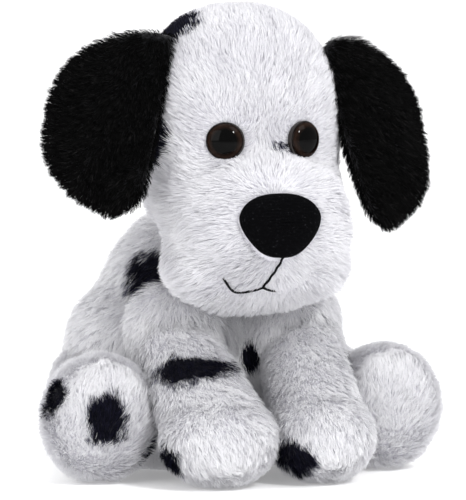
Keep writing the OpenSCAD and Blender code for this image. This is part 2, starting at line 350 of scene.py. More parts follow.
def pile_material(name, coat, specular, through):
    """The fibres' material: U of their map picks the shade, V runs from root to tip and darkens the roots, a painted
    shade deep in the pile.
    """
    mat, tree, shader = material(name)
    uv = tree.nodes.new("ShaderNodeUVMap")
    uv.uv_map = "OFBake"
    split = tree.nodes.new("ShaderNodeSeparateXYZ")
    tree.links.new(uv.outputs["UV"], split.inputs[0])
    shade = ramp(tree, split.outputs["X"], coat)
    # painted shade: each fibre is darker towards its root, where the pile shades itself
    root_shade = ramp(tree, split.outputs["Y"], [(0.0, (0.93, 0.928, 0.94)), (0.45, (0.99, 0.99, 0.992)), (1.0, (1, 1, 1))])
    tree.links.new(multiply(tree, shade, root_shade), shader.inputs["Base Color"])
    shader.inputs["Roughness"].default_value = 0.65
    shader.inputs["Specular IOR Level"].default_value = specular
    glow = tree.nodes.new("ShaderNodeBsdfTranslucent")
    tree.links.new(multiply(tree, shade, root_shade), glow.inputs["Color"])
    mix = tree.nodes.new("ShaderNodeMixShader")
    mix.inputs["Fac"].default_value = through
    tree.links.new(shader.outputs[0], mix.inputs[1])
    tree.links.new(glow.outputs[0], mix.inputs[2])
    out = next(n for n in tree.nodes if n.type == "OUTPUT_MATERIAL")
    tree.links.new(mix.outputs[0], out.inputs["Surface"])
    return mat


def backing_material(name, light, dark):
    """Knitted backing under the pile, with a fine loop bump; the attribute coat says where a spot is."""
    mat, tree, shader = material(name)
    tag = tree.nodes.new("ShaderNodeAttribute")
    tag.attribute_name = "coat"
    place = tree.nodes.new("ShaderNodeTexCoord")
    knit = tree.nodes.new("ShaderNodeTexVoronoi")
    knit.inputs["Scale"].default_value = 1 / (1.1 * MM)
    tree.links.new(place.outputs["Object"], knit.inputs["Vector"])
    colour = ramp(tree, tag.outputs["Fac"], [(0.0, light), (0.4, light), (0.7, dark), (1.0, dark)])
    grain = ramp(tree, knit.outputs["Distance"], [(0.0, (1, 1, 1)), (0.6, (0.86, 0.86, 0.88))])
    tree.links.new(multiply(tree, colour, grain), shader.inputs["Base Color"])
    shader.inputs["Roughness"].default_value = 0.9
    shader.inputs["Sheen Weight"].default_value = 0.4
    bump = tree.nodes.new("ShaderNodeBump")
    bump.inputs["Strength"].default_value = 0.5
    bump.inputs["Distance"].default_value = 0.4 * MM
    tree.links.new(knit.outputs["Distance"], bump.inputs["Height"])
    tree.links.new(bump.outputs["Normal"], shader.inputs["Normal"])
    return mat


def nose_material():
    """Black ribbed knit with a dusting of pale lint."""
    mat, tree, shader = material("nose_knit")
    place = tree.nodes.new("ShaderNodeTexCoord")
    lint = tree.nodes.new("ShaderNodeTexNoise")
    lint.inputs["Scale"].default_value = 1 / (0.9 * MM)
    lint.inputs["Detail"].default_value = 6
    tree.links.new(place.outputs["Object"], lint.inputs["Vector"])
    tree.links.new(ramp(tree, lint.outputs["Fac"], [(0.0, (0.0008, 0.0008, 0.001)), (0.58, (0.0016, 0.0016, 0.002)),
                                                    (0.68, (0.005, 0.005, 0.006)), (0.80, (0.05, 0.05, 0.055))]),
                   shader.inputs["Base Color"])
    shader.inputs["Roughness"].default_value = 0.8
    shader.inputs["Specular IOR Level"].default_value = 0.02
    shader.inputs["Sheen Weight"].default_value = 0.0
    shader.inputs["Sheen Roughness"].default_value = 0.4
    bump = tree.nodes.new("ShaderNodeBump")
    bump.inputs["Strength"].default_value = 0.6
    bump.inputs["Distance"].default_value = 0.25 * MM
    tree.links.new(lint.outputs["Fac"], bump.inputs["Height"])
    tree.links.new(bump.outputs["Normal"], shader.inputs["Normal"])
    return mat


def thread_material(name, colour, sheen):
    mat, tree, shader = material(name)
    place = tree.nodes.new("ShaderNodeTexCoord")
    twist = tree.nodes.new("ShaderNodeTexWave")
    twist.bands_direction = "DIAGONAL"
    twist.inputs["Scale"].default_value = 1 / (2.2 * MM)
    twist.inputs["Distortion"].default_value = 1.5
    tree.links.new(place.outputs["Object"], twist.inputs["Vector"])
    tree.links.new(ramp(tree, twist.outputs["Fac"], [(0.0, [c * 0.7 for c in colour]), (1.0, [min(1, c * 1.25) for c in colour])]),
                   shader.inputs["Base Color"])
    shader.inputs["Roughness"].default_value = 0.7
    shader.inputs["Specular IOR Level"].default_value = 0.1
    shader.inputs["Sheen Weight"].default_value = sheen
    return mat


def eye_material():
    """A dark brown iris round a black pupil, under a glossy coat; the attribute radius runs from 0 to 1."""
    mat, tree, shader = material("eye_glass_brown")
    tag = tree.nodes.new("ShaderNodeAttribute")
    tag.attribute_name = "radius"
    place = tree.nodes.new("ShaderNodeTexCoord")
    fleck = tree.nodes.new("ShaderNodeTexNoise")
    fleck.inputs["Scale"].default_value = 1 / (1.6 * MM)
    fleck.inputs["Detail"].default_value = 3
    tree.links.new(place.outputs["Object"], fleck.inputs["Vector"])
    iris = ramp(tree, tag.outputs["Fac"], [(0.0, (0.001, 0.001, 0.001)), (0.62, (0.001, 0.001, 0.001)),
                                           (0.70, (0.007, 0.0038, 0.0026)), (0.86, (0.020, 0.0105, 0.007)),
                                           (0.95, (0.005, 0.0026, 0.002)), (1.0, (0.002, 0.001, 0.001))])
    tint = ramp(tree, fleck.outputs["Fac"], [(0.3, (0.55, 0.5, 0.5)), (0.7, (1.0, 1.0, 1.0))])
    tree.links.new(multiply(tree, iris, tint), shader.inputs["Base Color"])
    shader.inputs["Roughness"].default_value = 0.05
    shader.inputs["Specular IOR Level"].default_value = 0.02
    shader.inputs["Coat Weight"].default_value = 0.11
    shader.inputs["Coat Roughness"].default_value = 0.03
    return mat


def plain_plastic(name, colour, roughness):
    mat, tree, shader = material(name)
    place = tree.nodes.new("ShaderNodeTexCoord")
    grain = tree.nodes.new("ShaderNodeTexNoise")
    grain.inputs["Scale"].default_value = 1 / (1.5 * MM)
    tree.links.new(place.outputs["Object"], grain.inputs["Vector"])
    tree.links.new(ramp(tree, grain.outputs["Fac"], [(0.3, [c * 0.8 for c in colour]), (0.7, colour)]), shader.inputs["Base Color"])
    shader.inputs["Roughness"].default_value = roughness
    return mat


WHITE_PILE = pile_material("combed_pile", COAT, 0.08, 0.36)
BLACK_PILE = pile_material("black_pile", EAR_COAT_AND_SHEEN, 0.03, 0.02)
WHITE_BACKING = backing_material("white_backing", (0.70, 0.69, 0.73), (0.012, 0.012, 0.02))
BLACK_BACKING = backing_material("black_backing", (0.012, 0.012, 0.016), (0.010, 0.010, 0.013))
NOSE_KNIT = nose_material()
BLACK_THREAD = thread_material("black_thread", (0.003, 0.003, 0.0035), 0.0)
WHITE_THREAD = thread_material("white_thread", (0.72, 0.71, 0.74), 0.3)
EYE_GLASS = eye_material()
EYE_PLASTIC = plain_plastic("eye_socket_plastic", (0.012, 0.008, 0.007), 0.35)
WASHER_PLASTIC = plain_plastic("washer_plastic", (0.7, 0.7, 0.68), 0.5)


# --- Combed pile -----------------------------------------------------------------------------------------------------
SHADES = 32        # columns of the pile's map
LIMIT = 38000      # most fibres in one piece


def surface(obj):
    """The skin's triangles as arrays: corner points, corner normals, areas."""
    mesh = obj.data
    mesh.calc_loop_triangles()
    n = len(mesh.loop_triangles)
    tri = np.empty(n * 3, int)
    mesh.loop_triangles.foreach_get("vertices", tri)
    tri = tri.reshape(-1, 3)
    p = points_of(obj)
    nor = np.empty(len(mesh.vertices) * 3)
    mesh.vertices.foreach_get("normal", nor)
    nor = nor.reshape(-1, 3)
    a, b, c = p[tri[:, 0]], p[tri[:, 1]], p[tri[:, 2]]
    return (a, b, c), (nor[tri[:, 0]], nor[tri[:, 1]], nor[tri[:, 2]]), np.linalg.norm(np.cross(b - a, c - a), axis=1) / 2


def roots(obj, per_mm2, rng):
    (a, b, c), (na, nb, nc), area = surface(obj)
    count = int(area.sum() * per_mm2)
    pick = rng.choice(len(area), count, p=area / area.sum())
    u, v = rng.random(count), rng.random(count)
    flip = u + v > 1
    u[flip], v[flip] = 1 - u[flip], 1 - v[flip]
    w = 1 - u - v
    mix = lambda x, y, z: x[pick] * w[:, None] + y[pick] * u[:, None] + z[pick] * v[:, None]
    return mix(a, b, c), unit(mix(na, nb, nc))


def clumps(p, size, rng):
    """For each root, the number of its tuft and the tuft's own root."""
    count = max(1, int(len(p) / max(2, size)))
    tufts = KDTree(count)
    chosen = rng.choice(len(p), count, replace=False)
    for i, k in enumerate(chosen):
        tufts.insert(p[k], i)
    tufts.balance()
    near = np.array([tufts.find(q)[1] for q in p.tolist()])
    return near, chosen


def pile(name, skin, body, density, length, comb, lift=0.35, width=0.30, tuft=16, gather=0.45,
         shade=None, keep=None, droop=0.15, curl=0.12, seed=0, cloth=None):
    """Plants fibres on a skin and returns the pieces, cut to LIMIT fibres each.

    comb(p, n) gives the way the pile lies, length(p, n) its length and shade(p, n) the coat's shade at each root.
    """
    rng = np.random.default_rng(SEED + seed)
    p, n = roots(skin, density, rng)
    if keep is not None:
        ok = rng.random(len(p)) < keep(p, n)
        p, n = p[ok], n[ok]
    lay = comb(p, n)
    lay = unit(lay - n * np.sum(lay * n, axis=1, keepdims=True))
    side = np.cross(n, lay)
    wander = ripple(p, 14, seed + 5)[:, None] * 0.30 + rng.normal(size=(len(p), 1)) * curl
    lay = unit(lay + side * wander)
    long_ = length(p, n) * rng.uniform(0.72, 1.08, len(p))
    near, chosen = clumps(p, tuft, rng)
    tall = rng.uniform(0.85, 1.12, len(chosen))
    long_ = long_ * tall[near]
    # the fibre rises from the cloth, then lies over; a tuft's fibres lean towards its middle fibre
    up = lift * rng.uniform(0.7, 1.35, len(p)) * (1 + 0.35 * rng.normal(size=len(chosen)).clip(-1.4, 1.4)[near])
    up = np.clip(up, 0.05, 2.2)[:, None]
    rise = unit(lay + n * (up + 0.9))
    lie = unit(lay + n * up * 0.55 - np.array([0, 0, droop]))
    s = np.array([0.0, 0.36, 0.70, 1.0])
    spine = [p]
    for i in range(1, 4):
        mid = (s[i] + s[i - 1]) / 2
        d = unit(rise * (1 - mid) + lie * (mid * 1.15))
        spine.append(spine[-1] + d * (long_ * (s[i] - s[i - 1]))[:, None])
    tips = spine[3][chosen]
    base = p[chosen]
    for i in (1, 2, 3):
        pull = gather * s[i] ** 1.4
        target = base[near] + (spine[i][chosen] - base)[near]
        spine[i] = spine[i] * (1 - pull) + (target + (p - base[near]) * 0.25) * pull
    for i in range(4):
        spine[i][:, 2] = np.maximum(spine[i][:, 2], 0.25)
    # flat faces look away from the skin, with some twist
    twist = rng.normal(size=(len(p), 3)) * 0.35
    tone = shade(p, n) if shade is not None else np.ones(len(p))
    tone = np.clip(tone, 0, 0.999)
    order = np.argsort(near, kind="stable")
    pieces = []
    parts = max(1, math.ceil(len(p) / LIMIT))
    for k in range(parts):
        some = order[k * len(order) // parts:(k + 1) * len(order) // parts]
        pieces.append(ribbons(f"{name}_{k + 1}" if parts > 1 else name, [q[some] for q in spine], n[some], twist[some],
                              tone[some], width))
    for obj in pieces:
        obj.data.materials.append(cloth or WHITE_PILE)
        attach(obj, body)
    return pieces


def ribbons(name, spine, n, twist, tone, width):
    """Tapering ribbons along the fibres, three segments each, mapped by shade and by distance from the root."""
    count = len(n)
    taper = [0.9, 1.0, 0.72]
    rows = []
    for i in range(3):
        along = unit(spine[i + 1] - spine[i])
        across = unit(np.cross(along, n + twist))
        half = across * (width * taper[i] / 2)
        rows += [spine[i] - half, spine[i] + half]
    rows.append(spine[3])
    co = np.stack(rows, axis=1).reshape(-1, 3) * MM
    base = np.arange(count)[:, None] * 7
    loops = np.concatenate([base + np.array([0, 1, 3, 2]), base + np.array([2, 3, 5, 4]), base + np.array([4, 5, 6])], axis=1)
    mesh = bpy.data.meshes.new(name)
    mesh.vertices.add(count * 7)
    mesh.vertices.foreach_set("co", co.ravel())
    mesh.loops.add(count * 11)
    mesh.loops.foreach_set("vertex_index", loops.ravel())
    starts = (np.arange(count)[:, None] * 11 + np.array([0, 4, 8])).ravel()
    mesh.polygons.add(count * 3)
    mesh.polygons.foreach_set("loop_start", starts)
    mesh.polygons.foreach_set("use_smooth", np.ones(count * 3, bool))
    mesh.update(calc_edges=True)
    column = (np.floor(tone * SHADES) + 0.5) / SHADES
    edge = 0.42 / SHADES
    sides = np.array([-1, 1, 1, -1, -1, 1, 1, -1, -1, 1, 0.0])
    heights = np.array([0.02, 0.02, 0.36, 0.36, 0.36, 0.36, 0.70, 0.70, 0.70, 0.70, 0.98])
    uv = np.stack([column[:, None] + sides * edge, np.broadcast_to(heights, (count, 11))], axis=2)
    layer = mesh.uv_layers.new(name="OFBake")
    layer.data.foreach_set("uv", uv.reshape(-1).astype(np.float32))
    obj = bpy.data.objects.new(name, mesh)
    bpy.context.scene.collection.objects.link(obj)
    return obj


# --- Skins -----------------------------------------------------------------------------------------------------------
def shrunk(radii, by=BACKING):
    return np.asarray(radii, float) - by


def tagged(obj, body, backing):
    """Writes the coat's spots on a skin's points and gives it its backing cloth."""
    coat = obj.data.attributes.new("coat", "FLOAT", "POINT")
    coat.data.foreach_set("value", spotted(body, points_of(obj)).astype(np.float32))
    obj.data.materials.clear()
    obj.data.materials.append(backing)
    obj.data.polygons.foreach_set("use_smooth", [True] * len(obj.data.polygons))
    return obj


def head_skin():
    tilt = turn("X", -MUZZLE_TILT)
    cheek = [ball(SKULL_C + np.array([s * 18, -16, -28.0]), shrunk([21, 25, 26])) for s in (-1, 1)]
    jowl = [ball(MUZZLE_C + np.array([s * 20, 1, -12.5]), shrunk([20, 24, 15.5])) for s in (-1, 1)]
    jaw = ball(MUZZLE_C + np.array([0, 0, 0.8]), shrunk(MUZZLE_R) - np.array([1.2, 0, 1.0]), tilt, squareness=0.9)
    skull = ball(SKULL_C, shrunk(SKULL_R), squareness=0.35)
    obj = blob("head_skin", [skull, jaw] + cheek + jowl, 2.6, 14)
    p = points_of(obj)
    seam = (np.abs(np.abs(p[:, 0]) - 9) < 1.4) & (p[:, 2] > 128)
    seam |= (np.abs(p[:, 2] - 86) < 1.4) & (p[:, 1] < -30)
    return subdivide(stuff(obj, seam, 3.0, 2.2))


def torso_skin():
    flank = [ball(HAUNCH_C + np.array([s * 33, -2, 18.0]), [26, 30, 31]) for s in (-1, 1)]
    flank += [ball(SHOULDER * [s, 1, 1] + np.array([s * -3, 2, 6.0]), [20, 17, 21]) for s in (-1, 1)]
    obj = blob("torso_skin", [ball(HAUNCH_C, shrunk(HAUNCH_R)), ball(CHEST_C, shrunk(CHEST_R, 0.5))] + flank, 3.4, 10)
    p = points_of(obj)
    # the seat is flat, and the chest is pressed in under the head
    p[:, 2] = np.maximum(p[:, 2], SEAT_TOP)
    d = (p - SKULL_C) / (SKULL_R + 5.5)
    inside = np.linalg.norm(d, axis=1)
    push = inside < 1
    p[push] = SKULL_C + (p[push] - SKULL_C) / inside[push, None]
    q = (p - MUZZLE_C) @ turn("X", -MUZZLE_TILT)
    d = q / (MUZZLE_R + 4)
    inside = np.linalg.norm(d, axis=1)
    push = inside < 1
    p[push] = MUZZLE_C + (q[push] / inside[push, None]) @ turn("X", -MUZZLE_TILT).T
    set_points(obj, p)
    p = points_of(obj)
    seam = (np.abs(p[:, 0]) < 1.7) & (p[:, 1] > 10)
    seam |= np.abs(p[:, 1] - SHIFT[1]) < 1.7
    seam |= p[:, 2] < SEAT_TOP + 1
    seam |= p[:, 2] > 92
    return subdivide(stuff(obj, seam, 3.0, 2.6))


def foreleg_skin():
    eggs = [ball(SHOULDER, shrunk([SHOULDER_R] * 3)), limb(SHOULDER, PAW_C, ARM_TOP_R, ARM_R + 1), ball(PAW_C + np.array([1.0, 0, 0]), shrunk(PAW_R + np.array([1.5, 0, 0]), 1.6))]
    obj = blob("foreleg_skin_left", eggs, 2.6, 10)
    p = points_of(obj)
    p[:, 2] = np.maximum(p[:, 2], 1.2)
    set_points(obj, p)
    seam = (np.abs(p[:, 0] - 27) < 1.3) | (p[:, 2] < 2)
    return subdivide(stuff(obj, seam, 3.0, 2.0))


def hindleg_skin():
    thigh = HIP + np.array([-8.0, 0, 2.0])
    eggs = [ball(thigh, shrunk([THIGH_R - 1] * 3)), limb(thigh, FOOT_C, SHIN_TOP_R - BACKING, SHIN_R - BACKING), ball(FOOT_C + np.array([-0.5, 0, 1.5]), shrunk(FOOT_R + np.array([0.5, 0, 1.5]), 1.6))]
    obj = blob("hindleg_skin_left", eggs, 2.6, 10)
    p = points_of(obj)
    p[:, 2] = np.maximum(p[:, 2], 1.2)
    set_points(obj, p)
    seam = (np.abs(p[:, 0] - 58) < 1.3) | (p[:, 2] < 2)
    return subdivide(stuff(obj, seam, 3.0, 2.0))


def tail_skin():
    eggs = [ball(TAIL_ROOT, [TAIL_R - 2] * 3, rings=10), limb(TAIL_ROOT, TAIL_TIP, TAIL_R - 2.2, TAIL_TIP_R - 1.7, 6), ball(TAIL_TIP, [TAIL_TIP_R - 1.5] * 3, rings=10)]
    obj = blob("tail_skin", eggs, 2.0, 6)
    return subdivide(obj)


def ear_frame(side):
    """The ear's own axes as rows: away from the seam, back to front, and up the seam."""
    m = turn("Y", -EAR_LEAN) @ turn("X", -EAR_PITCH) @ turn("Z", EAR_SWEEP)
    axes = m.T.copy()
    axes[:, 0] *= side
    return axes


EAR_RAYS, EAR_RINGS = 72, 16


def ear_skin(side):
    """A soft D-shaped pillow: thick in the middle, thin at its sewn rim, curling forward towards its lower end."""
    axes = ear_frame(side)
    foot = EAR_FOOT * np.array([side, 1, 1])
    points, faces = [], []
    # the left ear hangs lower and closer to the cheek than the right
    half_l, wide, hang, slant = (EAR_L / 2 + 1.5, EAR_W - 3.0, -1.5, 0.15) if side > 0 else (EAR_L / 2, EAR_W, 3.5, 0.0)
    mid_x, mid_z, power = wide * 0.4, -4.0, 2.35

    def inside(x, z):
        # a D, fullest below its middle, its lower corner on the seam rounded off
        u = (z - mid_z) / (half_l - mid_z if z > mid_z else half_l + mid_z)
        corner = 10 * max(0.0, (-u - 0.66) / 0.34) ** 2
        return x > 0.5 + corner and (abs(x) / wide) ** power + abs(u) ** power < 1

    def rim(a):
        lo, hi = 0.0, EAR_L
        for halving in range(24):
            t = (lo + hi) / 2
            if inside(mid_x + t * math.cos(a), mid_z + t * math.sin(a)):
                lo = t
            else:
                hi = t
        return lo

    def place(a, share, face):
        x, z = mid_x + rim(a) * share * math.cos(a), mid_z + rim(a) * share * math.sin(a)
        puff = (1 - share ** 2.6) * 4.6 + 0.5
        y = -EAR_T + face * puff
        curl = 5.0 * (x / wide) ** 2 + 3.0 * smooth(0, -half_l, z)
        y -= curl - 2.0
        y += 1.1 * math.sin(x * 0.22 + z * 0.05)
        x -= slant * (half_l - z)
        return foot + axes[0] * (x + 1.2) + axes[1] * y + axes[2] * (z + hang)

    for face in (-1, 1):
        base = len(points)
        points.append(place(0, 0.0, face))
        for r in range(1, EAR_RINGS + 1):
            for k in range(EAR_RAYS):
                points.append(place(2 * math.pi * k / EAR_RAYS, r / EAR_RINGS, face))
        for k in range(EAR_RAYS):
            m = (k + 1) % EAR_RAYS
            faces.append([base, base + 1 + k, base + 1 + m])
            for r in range(EAR_RINGS - 1):
                a, b = base + 1 + r * EAR_RAYS, base + 1 + (r + 1) * EAR_RAYS
                faces.append([a + k, b + k, b + m, a + m])
    n = 1 + EAR_RINGS * EAR_RAYS
    rim = 1 + (EAR_RINGS - 1) * EAR_RAYS
    for k in range(EAR_RAYS):
        m = (k + 1) % EAR_RAYS
        faces.append([rim + k, n + rim + k, n + rim + m, rim + m])
    obj = new_mesh("ear_skin_left" if side > 0 else "ear_skin_right", points, faces)
    outward(obj)
    return obj


def outward(obj):
    """Turns every face to look out of the closed skin."""
    b = bmesh.new()
    b.from_mesh(obj.data)
    bmesh.ops.recalc_face_normals(b, faces=b.faces)
    b.to_mesh(obj.data)
    b.free()
    obj.data.update()


# --- Face ------------------------------------------------------------------------------------------------------------
def eye_frame(side):
    """An eye's centre and axes: across, up, and out of the head."""
    y = SKULL_C[1] - SKULL_R[1] * math.sqrt(1 - (EYE_X / SKULL_R[0]) ** 2) + 1.3
    out = unit(np.array([side * EYE_X / SKULL_R[0] ** 2, (y - SKULL_C[1]) / SKULL_R[1] ** 2, 0.0]))
    across = np.cross([0, 0, 1.0], out)
    return np.array([side * EYE_X, y, EYE_Z]), across, np.cross(out, across), out


def eye(side):
    """A glossy dome with a turned rim, sunk a little in the pile."""
    c, across, up, out = eye_frame(side)
    r = EYE_D / 2
    profile = [(0.0, 4.1)]
    for i in range(1, 19):
        t = i / 18
        profile.append((r * math.sin(t * math.pi / 2), 0.3 + 3.8 * math.cos(t * math.pi / 2)))
    profile += [(r - 0.1, -0.9), (r - 1.2, -1.3)]
    n = 64
    points, faces = [c + out * profile[0][1]], []
    for radius, height in profile[1:]:
        for k in range(n):
            a = 2 * math.pi * k / n
            points.append(c + across * radius * math.cos(a) + up * radius * math.sin(a) + out * height)
    for k in range(n):
        faces.append([0, 1 + k, 1 + (k + 1) % n])
    for i in range(len(profile) - 2):
        for k in range(n):
            m = (k + 1) % n
            a, b = 1 + i * n, 1 + (i + 1) * n
            faces.append([a + k, b + k, b + m, a + m])
    last = 1 + (len(profile) - 2) * n
    faces.append([last + k for k in range(n)])
    name = "eye_left" if side > 0 else "eye_right"
    obj = new_mesh(name, points, faces)
    outward(obj)
    radius = np.linalg.norm(np.cross(points_of(obj) - c, out), axis=1) / r
    tag = obj.data.attributes.new("radius", "FLOAT", "POINT")
    tag.data.foreach_set("value", radius.astype(np.float32))
    obj.data.materials.append(EYE_GLASS)
    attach(obj, "head")
    which = "left" if side > 0 else "right"
    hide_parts(f"eye_lens_{which}", f"eye_pupil_{which}")
    return obj


NOSE_W, NOSE_H, NOSE_POWER = 18.0, 13.3, 2.3


def nose_width(z):
    """Half width of the nose pad at a height: full at the top, drawn in below."""
    return NOSE_W * (1 - 0.34 * smooth(0.45, -1.15, z / NOSE_H))


def nose_rim(a):
    """The point of the pad's rounded-triangle outline at parameter a."""
    bend = 2 / NOSE_POWER
    z = NOSE_H * math.copysign(abs(math.sin(a)) ** bend, math.sin(a))
    return nose_width(z) * math.copysign(abs(math.cos(a)) ** bend, math.cos(a)), z


def in_nose(x, z, grow=0.0):
    """True where a point lies inside the pad's outline grown by a margin."""
    return (np.abs(x) / (nose_width(z) + grow)) ** NOSE_POWER + (np.abs(z) / (NOSE_H + grow)) ** NOSE_POWER < 1


def nose():
    """A stuffed knitted pad; its ribs run across."""
    tilt = turn("X", -NOSE_TILT)
    points, faces = [], []
    rays, rings = 120, 34
    for i in range(rings + 1):
        share = i / rings
        for k in range(rays):
            a = 2 * math.pi * k / rays
            x, z = (share * v for v in nose_rim(a))
            dome = 8.2 * (1 - share ** 2.7) ** 0.5
            rib = 0.26 * math.sin(2 * math.pi * z / 1.25) * (1 - share ** 6)
            wale = 0.07 * math.sin(2 * math.pi * x / 0.95 + math.pi * math.floor(z / 1.25)) * (1 - share ** 6)
            points.append([x, -(dome + rib + wale), z])
    for i in range(rings):
        for k in range(rays):
            m = (k + 1) % rays
            faces.append([i * rays + k, (i + 1) * rays + k, (i + 1) * rays + m, i * rays + m])
    base = rings * rays
    skirt = len(points)
    for k in range(rays):
        x, y, z = points[base + k]
        points.append([x * 0.93, 5.0, z * 0.93])
    for k in range(rays):
        m = (k + 1) % rays
        faces.append([base + k, skirt + k, skirt + m, base + m])
    p = np.array(points) @ tilt.T + NOSE_C
    obj = new_mesh("nose_pad", p, faces)
    outward(obj)
    obj.data.materials.append(NOSE_KNIT)
    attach(obj, "head")
    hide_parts("nose_cover", "nose_filling")
    return obj


def on_muzzle(skin_tree, x, z):
    """The point of the head's skin straight in front of (x, z)."""
    hit = skin_tree.ray_cast(Vector((x * MM, -0.2, z * MM)), Vector((0, 1, 0)))
    return np.array(hit[0]) / MM if hit[0] is not None else np.array([x, -80, z])


def tube(name, path, radius, sides=10, strands=2, pitch=2.4):
    """A twisted thread along a path."""
    path = np.asarray(path, float)
    along = unit(np.gradient(path, axis=0))
    points, faces = [], []
    run = 0.0
    for i, (p, d) in enumerate(zip(path, along)):
        run += 0 if i == 0 else np.linalg.norm(p - path[i - 1])
        u = unit(np.cross(d, [0.0, 1.0, 0.01]))
        v = np.cross(d, u)
        for k in range(sides):
            a = 2 * math.pi * k / sides
            r = radius * (1 + 0.16 * math.cos(strands * (a - 2 * math.pi * run / pitch)))
            points.append(p + r * (math.cos(a) * u + math.sin(a) * v))
    for i in range(len(path) - 1):
        for k in range(sides):
            m = (k + 1) % sides
            faces.append([i * sides + k, i * sides + m, (i + 1) * sides + m, (i + 1) * sides + k])
    faces.append([k for k in range(sides)][::-1])
    faces.append([(len(path) - 1) * sides + k for k in range(sides)])
    obj = new_mesh(name, points, faces)
    outward(obj)
    return obj


MOUTH_HALF, MOUTH_DIP, MOUTH_Z, MOUTH_TOP = 19, 9, 79.6, 96.2
MOUTH_LEAN = 3.5    # how far the smile sits off the middle, towards the toy's right


def mouth_height(x):
    return MOUTH_Z + (0.025 if x < MOUTH_DIP else 0.07) * (x - MOUTH_DIP) ** 2


def mouth_line():
    """Points (x, z) of the smile and of the drop from the nose."""
    smile = [(x - MOUTH_LEAN, mouth_height(abs(x))) for x in np.linspace(-MOUTH_HALF, MOUTH_HALF, 90)]
    low = mouth_height(0)
    drop = [(-MOUTH_LEAN * (1 - (z - low) / (MOUTH_TOP - low)), z) for z in np.linspace(low, MOUTH_TOP, 40)]
    return smile, drop


# --- How the pile lies -----------------------------------------------------------------------------------------------
def tones(rng, count, low, high):
    return rng.uniform(low, high, count)


# base is the white pile's tone: the head's is set lower (0.80) than the other pieces' (0.90), a painted shade on the
# head, which the lamps light more, and painted light on the body, legs and tail
def white_shade(body, seed, base=0.90):
    def shade(p, n):
        rng = np.random.default_rng(SEED + seed)
        tone = base + 0.035 * ripple(p, 18, seed) + rng.normal(size=len(p)) * 0.045
        dark = spotted(body, p) if body else np.zeros(len(p))
        picked = rng.random(len(p)) < dark
        tone = np.where(picked, rng.uniform(0.03, 0.30, len(p)), tone)
        brink = (dark > 0.05) & (dark < 0.75) & (rng.random(len(p)) < 0.30)
        tone = np.where(brink, rng.uniform(0.30, 0.56, len(p)), tone)
        return np.clip(tone, 0, 0.98)
    return shade


def black_shade(seed):
    def shade(p, n):
        rng = np.random.default_rng(SEED + seed)
        # the tail of this spread gives the few greyer fibres, a painted sheen on the black pile
        return np.clip(rng.gamma(2.2, 0.16, len(p)), 0.0, 0.98)
    return shade


def even_length(size):
    return lambda p, n: np.full(len(p), float(size))


def head_comb(p, n):
    away = unit(p - (NOSE_C + np.array([0, 10, -2])))
    low = smooth(132, 112, p[:, 2])[:, None]
    flat = away * np.array([1.35, 0.9, 0.45]) + np.array([0, 0, -0.12])
    lay = away * (1 - low) + flat * low
    back = smooth(-34, 4, p[:, 1] - SHIFT[1])[:, None]
    lay = lay * (1 - back) + np.array([0, 0.1, -1.0]) * back
    for side in (-1, 1):
        c, across, up, out = eye_frame(side)
        d = p - c
        near = np.exp(-(np.linalg.norm(d, axis=1) / 12) ** 2)[:, None]
        lay = lay * (1 - near) + unit(d) * near
    return lay


def mouth_distance(p):
    """Distance of each root from the mouth line, seen from the front."""
    line = sum(mouth_line(), [])
    tree = KDTree(len(line))
    for i, (x, z) in enumerate(line):
        tree.insert((x, z, 0), i)
    tree.balance()
    front = p[:, 1] < -50
    return np.array([tree.find((x, z, 0))[2] if f else 99.0 for x, z, f in zip(p[:, 0], p[:, 2], front)])


def head_length(p, n):
    low = smooth(140, 112, p[:, 2])
    size = 4.6 + 2.6 * low
    size *= 0.42 + 0.58 * smooth(1.5, 8.0, mouth_distance(p))
    cheek = np.exp(-(((np.abs(p[:, 0]) - 33) / 12) ** 2 + ((p[:, 2] - 112) / 24) ** 2))
    size += 1.0 * cheek
    # short round the nose, the eyes and along the mouth
    d = np.linalg.norm((p - NOSE_C) / np.array([NOSE_W + 4, 14, NOSE_H + 4]), axis=1)
    size *= 0.55 + 0.45 * smooth(1.0, 1.6, d)
    for side in (-1, 1):
        c = eye_frame(side)[0]
        size *= 0.6 + 0.4 * smooth(EYE_D / 2, EYE_D / 2 + 8, np.linalg.norm(p - c, axis=1))
    return size


def head_keep(p, n):
    keep = np.ones(len(p))
    for side in (-1, 1):
        c = eye_frame(side)[0]
        keep[np.linalg.norm(p - c, axis=1) < EYE_D / 2 - 0.9] = 0
    q = (p - NOSE_C) @ turn("X", -NOSE_TILT)
    keep[in_nose(q[:, 0], q[:, 2], -0.3) & (p[:, 1] < -60)] = 0
    keep[mouth_distance(p) < 0.6] = 0
    return keep


def body_comb(p, n):
    lay = np.array([0, 0, -1.0]) + 0.25 * unit(p * np.array([1, 1, 0]))
    return lay


def foreleg_comb(side):
    s, c = SHOULDER * [side, 1, 1], PAW_C * [side, 1, 1]

    def comb(p, n):
        lay = unit(c - s)
        toe = smooth(16, 30, np.linalg.norm(p - s, axis=1))[:, None]
        return lay * (1 - toe) + toe * (0.7 * lay + 0.6 * unit(p - (c + np.array([0, 14, 10]))))
    return comb


def hindleg_comb(side):
    s, c = HIP * [side, 1, 1], FOOT_C * [side, 1, 1]

    def comb(p, n):
        lay = unit(c - s)
        sole = smooth(-0.7, 0.9, -n[:, 1])[:, None] * smooth(-5, -40, p[:, 1])[:, None]
        rise = unit(p - (c + np.array([0, 12, -8])))
        return lay * (1 - sole) + rise * sole
    return comb


def tail_comb(p, n):
    return np.broadcast_to(unit(TAIL_TIP - TAIL_ROOT), p.shape)


